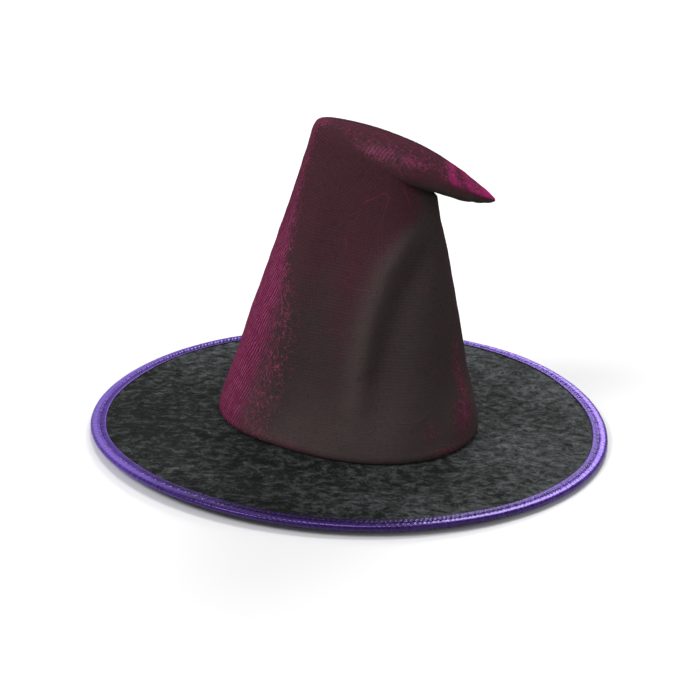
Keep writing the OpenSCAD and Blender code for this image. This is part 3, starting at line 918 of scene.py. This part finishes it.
# irregular puckers, one to a stitch
phase = run / 3.3 * 2 * np.pi + 1.1 * np.sin(th * 17 + 1) + 0.8 * np.sin(th * 41 + 2)
puck = np.sin(phase) + 0.35 * np.sin(phase * 0.5 + 1.3 * np.sin(th * 23)) + 0.25 * np.sin(phase * 2 + 0.5)
slow = np.sin(th * 9 + 0.6) * 0.5 + np.sin(th * 23 + 2.1) * 0.3 + np.sin(th * 51) * 0.2
dR, dZ = prof[:, 0], prof[:, 1]
rad = np.hypot(dR, dZ)
outer = np.array([np.min(np.hypot(dR[i] - np.array(out)[:, 0], dZ[i] - np.array(out)[:, 1])) < 0.75
                  for i in range(len(prof))]).astype(float)
near_groove = np.exp(-((dR + 3.6) / 2.6) ** 2)
amp = outer * (0.07 + 0.26 * near_groove)
nr, nz = dR / np.maximum(rad, 1), dZ / np.maximum(rad, 1)
nr = np.where(dR < -3.5, 0, nr)
nz = np.where(dR < -3.5, np.sign(dZ), nz)
pk = np.empty((len(prof), NT))
for i in range(len(prof)):                         # puckers lean as they leave the groove
    pk[i] = np.interp((run + (dR[i] + 3.6) * 0.55) % (2 * np.pi * ROLL_C), run, puck)
q = amp[:, None] * pk + outer[:, None] * 0.10 * slow[None, :]
rr = ROLL_C + dR[:, None] + nr[:, None] * q + outer[:, None] * 0.18 * np.sin(th * 13 + 0.4)[None, :] * (dR[:, None] < -6)
zz = MID + dZ[:, None] + nz[:, None] * q
xx, yy = rr * np.cos(th), rr * np.sin(th)
lift = wave(ROLL_C * np.cos(th), ROLL_C * np.sin(th))[None, :]
zz = np.maximum(zz + lift, 0.02)
Pb = np.stack([xx, yy, zz], -1)                     # profile x along
Pc = np.concatenate([Pb, Pb[:1]])
nV = len(prof)
F = grid_faces(nV, NT, True)
j = np.arange(NT)
F = np.concatenate([F, np.stack([(nV - 1) * NT + j, (nV - 1) * NT + (j + 1) % NT, (j + 1) % NT, j], -1)])
A = np.broadcast_to(run[None, :], (nV, NT)).ravel()
pf = np.broadcast_to(np.clip((dR + 8) / 11, 0, 1)[:, None], (nV, NT)).ravel()
c0 = np.cross(Pb[10, 1] - Pb[10, 0], Pb[11, 0] - Pb[10, 0])
if np.dot(c0, [Pb[10, 0, 0] - ROLL_C, 0, Pb[10, 0, 2] - MID]) < 0:
    F = F[:, ::-1]
binding = mesh_obj("brim_binding_satin", Pb.reshape(-1, 3), F, M_SATIN, {"run": A, "prof": pf})
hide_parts("brim_binding")
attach(binding, "hat")


def stitches(name, path, n, length, rad, mat, sink=0.0, jitter=0.06, seed=1):
    """n separate stitches along path(t), t from 0 to 1, as small rounded lozenges."""
    r = np.random.RandomState(seed)
    V, F = [], []
    k, seg = 5, 6
    s = np.linspace(-1, 1, k)
    for i in range(n):
        t = (i + 0.5 + r.uniform(-1, 1) * jitter) / n
        p, a, b, c = path(t)                         # point, along, across, up
        a = a + b * r.uniform(-1, 1) * 0.10
        a = a / np.linalg.norm(a)
        base = len(V)
        for x in s:
            h = math.sqrt(max(1 - abs(x) ** 2.4, 0.02)) * rad
            for g in range(seg):
                w = 2 * math.pi * g / seg
                V.append(p + a * x * length / 2 + b * math.cos(w) * h + c * (math.sin(w) * h - sink - 0.25 * x * x * rad))
        for x in range(k - 1):
            for g in range(seg):
                g2 = (g + 1) % seg
                F.append([base + x * seg + g, base + x * seg + g2, base + (x + 1) * seg + g2, base + (x + 1) * seg + g][::-1])
        F.append([base + g for g in range(seg)])
        F.append([base + (k - 1) * seg + g for g in range(seg)][::-1])
    return mesh_obj(name, V, F, mat)


def edge_path(dr, dz, side):
    def f(t):
        w = 2 * math.pi * t
        rr = ROLL_C + dr + 0.18 * math.sin(w * 7)
        p = np.array([rr * math.cos(w), rr * math.sin(w),
                      MID + dz + float(wave(ROLL_C * math.cos(w), ROLL_C * math.sin(w)))])
        a = np.array([-math.sin(w), math.cos(w), 0])
        c = np.array([0, 0, side])
        return p, a, np.cross(c, a), c
    return f


st = stitches("binding_stitches_top", edge_path(-4.05, 1.36, 1), 352, 2.5, 0.30, M_THREAD, seed=3)
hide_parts("binding_thread")
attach(st, "hat")
st2 = stitches("binding_stitches_under", edge_path(-4.05, -2.12, -1), 352, 2.5, 0.28, M_THREAD, seed=4)
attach(st2, "hat")


# spring hoop and its crimped ferrule, inside the roll
def torus(name, rad_fn, a0, a1, n, seg, mat, z_off=-0.35):
    t = np.linspace(a0, a1, n)
    V, F = [], []
    for i, w in enumerate(t):
        rr = rad_fn(i / (n - 1))
        zz0 = MID + z_off + float(wave(ROLL_C * math.cos(w), ROLL_C * math.sin(w)))
        for g in range(seg):
            b = 2 * math.pi * g / seg
            R = ROLL_C + rr * math.cos(b)
            V.append([R * math.cos(w), R * math.sin(w), zz0 + rr * math.sin(b)])
    for i in range(n - 1):
        for g in range(seg):
            g2 = (g + 1) % seg
            F.append([i * seg + g, (i + 1) * seg + g, (i + 1) * seg + g2, i * seg + g2])
    F.append([g for g in range(seg)])
    F.append([(n - 1) * seg + g for g in range(seg)][::-1])
    return mesh_obj(name, V, F, mat)


gap = 0.5 / ROLL_C
hoop = torus("edge_hoop_wire", lambda f: 1.2, math.pi / 2 + gap, math.pi / 2 + 2 * math.pi - gap, 600, 14, M_STEEL)
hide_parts("edge_hoop")
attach(hoop, "hat")


def ferrule():
    """A short tube pinched in two places over the hoop's ends."""
    n, seg = 41, 24
    t = np.linspace(-7, 7, n)
    rows = []
    for x in t:
        pinch = 0.30 * (np.exp(-((x - 3.4) / 0.7) ** 2) + np.exp(-((x + 3.4) / 0.7) ** 2))
        rows.append(1.85 - pinch - 0.25 * smooth01((abs(x) - 6.5) / 0.5))
    V = []
    for shellr in (0, 1):
        for x, ro in zip(t, rows):
            w = math.pi / 2 + x / ROLL_C
            zz0 = MID - 0.35 + float(wave(ROLL_C * math.cos(w), ROLL_C * math.sin(w)))
            rr = ro if shellr == 0 else min(1.32, ro - 0.25)
            for g in range(seg):
                b = 2 * math.pi * g / seg
                R = ROLL_C + rr * math.cos(b)
                V.append([R * math.cos(w), R * math.sin(w), zz0 + rr * math.sin(b)])
    F = []
    o = n * seg
    for i in range(n - 1):
        for g in range(seg):
            g2 = (g + 1) % seg
            F.append([i * seg + g, (i + 1) * seg + g, (i + 1) * seg + g2, i * seg + g2])
            F.append([o + i * seg + g2, o + (i + 1) * seg + g2, o + (i + 1) * seg + g, o + i * seg + g])
    for g in range(seg):
        g2 = (g + 1) % seg
        F.append([g, g2, o + g2, o + g])
        e = (n - 1) * seg
        F.append([e + g2, e + g, o + e + g, o + e + g2])
    return mesh_obj("hoop_ferrule_crimped", V, F, M_STEEL)


fer = ferrule()
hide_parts("hoop_ferrule")
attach(fer, "hat")

# --------------------------------------------------- sweatband and its trim
band_lo, band_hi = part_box("sweatband")
BR = (band_hi[0] - band_lo[0]) / 2 / MM            # outside radius
z0, z1 = band_lo[2] / MM, band_hi[2] / MM
zs = np.concatenate([[0, 0.25, 0.7, 1.4], np.linspace(2.4, z1 - z0 - 1.4, 22), [z1 - z0 - 0.7, z1 - z0 - 0.25, z1 - z0]])
tb_ = np.linspace(0, 2 * np.pi, 260, endpoint=False)
lean = np.where(zs > 8.5, 0.33 * (zs - 8.5), 0)
f_top = smooth01((zs - 10) / 18)[:, None]
rb = BR - lean[:, None] + 0 * tb_[None, :]
rb = rb - f_top * (0.5 + 0.5 * np.sin(tb_ * 7 + 1) * 0.6 + 0.3 * np.sin(tb_ * 13))[None, :]
hem = 0.25 * np.exp(-((zs - (z1 - z0 - 2.5)) / 0.7) ** 2)[:, None]
rb = rb - 0.0 * hem
rb[0] -= 0.35
rb[-1] -= 0.3
zz = z0 + zs[:, None] + 0.35 * f_top * np.sin(tb_ * 5 + 2)[None, :]
ax_, ay_ = askew(CX + rb * np.cos(tb_), rb * np.sin(tb_))
Ps = np.stack([ax_, ay_, zz + rise(tb_)[None, :]], -1)
band = shell("sweatband_cloth", Ps, 0.0, 1.0, M_BAND, True)
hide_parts("sweatband")
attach(band, "hat")


def ring_path(rad, z, inward=True):
    def f(t):
        w = 2 * math.pi * t
        ax, ay = askew(CX + rad * math.cos(w), rad * math.sin(w))
        p = np.array([ax, ay, z + float(rise(w))])
        a = np.array([-math.sin(w), math.cos(w), 0])
        c = np.array([-math.cos(w), -math.sin(w), 0]) if inward else np.array([0, 0, -1.0])
        return p, a, np.cross(c, a), c
    return f


zi = z1 - z0 - 2.5
rad_i = BR - 1.0 - 0.33 * (zi - 8.5)


def band_path(t):
    w = 2 * math.pi * t
    ft = float(smooth01((zi - 10) / 18))
    rr = rad_i - ft * (0.5 + 0.3 * math.sin(w * 7 + 1) + 0.3 * math.sin(w * 13)) - 0.02
    ax, ay = askew(CX + rr * math.cos(w), rr * math.sin(w))
    p = np.array([ax, ay, z0 + zi + 0.35 * ft * math.sin(5 * w + 2) + float(rise(w))])
    a = np.array([-math.sin(w), math.cos(w), 0])
    c = np.array([-math.cos(w), -math.sin(w), 0])
    return p, a, np.cross(c, a), c


bs = stitches("band_stitches", band_path, 168, 2.4, 0.28, M_THREAD_BLACK, seed=6)
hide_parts("band_thread")
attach(bs, "hat")
hs = stitches("head_seam_stitches", ring_path(HOLE + 1.6, under - 0.22, False), 184, 2.5, 0.28, M_THREAD_BLACK, seed=7)
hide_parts("head_seam_thread")
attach(hs, "hat")

# care label: a blank folded strip sewn to the back of the sweatband
lb0, lb1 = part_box("care_label")
lx = np.linspace(-12, 12, 40)
lz = np.linspace(0, 12, 18)
zl = lb0[2] / MM + lz
Lp = []
for h_, zq in zip(lz, zl):
    rr = BR - 1.0 - 0.33 * max(zq - z0 - 8.5, 0) - 0.9 - 0.5 * math.sin(h_ / 12 * math.pi) * 0.6
    Lp.append([[*askew(CX + x, math.sqrt(max(rr * rr - x * x, 1))), zq] for x in lx])
Lp = np.array(Lp)
label = shell("care_label_strip", Lp, 0.0, 0.3, M_LABEL, False)
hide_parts("care_label")
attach(label, "hat")

# the back seam's allowances: two raw strips pressed open behind the seam
al_lo, al_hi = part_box("back_seam_allowances")
Pa, *_ = crown_grid(720, 3.0, seam=False, pleat=0, detail=0.4, t_end=tk[FOLD_ROW] - 4)
Na = grid_normals(Pa, True)
inside = (Pa[:, 0, 2] > al_lo[2] / MM) & (Pa[:, 0, 2] < al_hi[2] / MM - 1)
Pa, Na = Pa[inside], Na[inside]
wide = (al_hi[0] - al_lo[0]) / MM / 2
strips = []
for sgn in (1, -1):
    w = np.linspace(0.5, max(min(wide, 9.0), 6.0), 9)
    rows = []
    for p, n_ in zip(Pa, Na):
        half_ring = p[:90] if sgn > 0 else np.concatenate([p[:1], p[:-90:-1]])
        nn = n_[:90] if sgn > 0 else np.concatenate([n_[:1], n_[:-90:-1]])
        L = np.concatenate([[0], np.cumsum(np.linalg.norm(np.diff(half_ring, axis=0), axis=1))])
        q = np.stack([np.interp(w, L, half_ring[:, k_]) for k_ in range(3)], -1)
        m_ = np.stack([np.interp(w, L, nn[:, k_]) for k_ in range(3)], -1)
        lift_ = 2.35 + 0.18 * np.sin(p[0, 2] / 7.0 + sgn) * (w / w[-1]) ** 2
        rows.append(q - m_ * lift_[:, None])
    rows = np.array(rows)
    strips.append(rows if sgn > 0 else rows[:, ::-1])
al_v, al_f, off_ = [], [], 0
for k_, rows in enumerate(strips):
    ob = shell("allowance_part_%d" % k_, rows, 0.0, 0.45, M_SHOT, False)
    al_v += [v.co.copy() for v in ob.data.vertices]
    al_f += [[i + off_ for i in f.vertices] for f in ob.data.polygons]
    off_ += len(ob.data.vertices)
    me_ = ob.data
    bpy.data.objects.remove(ob)
    bpy.data.meshes.remove(me_)
allow = mesh_obj("back_seam_allowances_pressed", [(v.x / MM, v.y / MM, v.z / MM) for v in al_v], al_f, M_INTER)
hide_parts("back_seam_allowances")
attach(allow, "hat")

# ------------------------------------------------------------------- stage
fl = bpy.data.meshes.new("floor")
fl.from_pydata([(-8, -8, 0), (8, -8, 0), (8, 8, 0), (-8, 8, 0)], [], [(0, 1, 2, 3)])
fl.materials.append(floor_mat())
floor = bpy.data.objects.new("floor", fl)
bpy.context.scene.collection.objects.link(floor)
floor.location.z = -0.0002
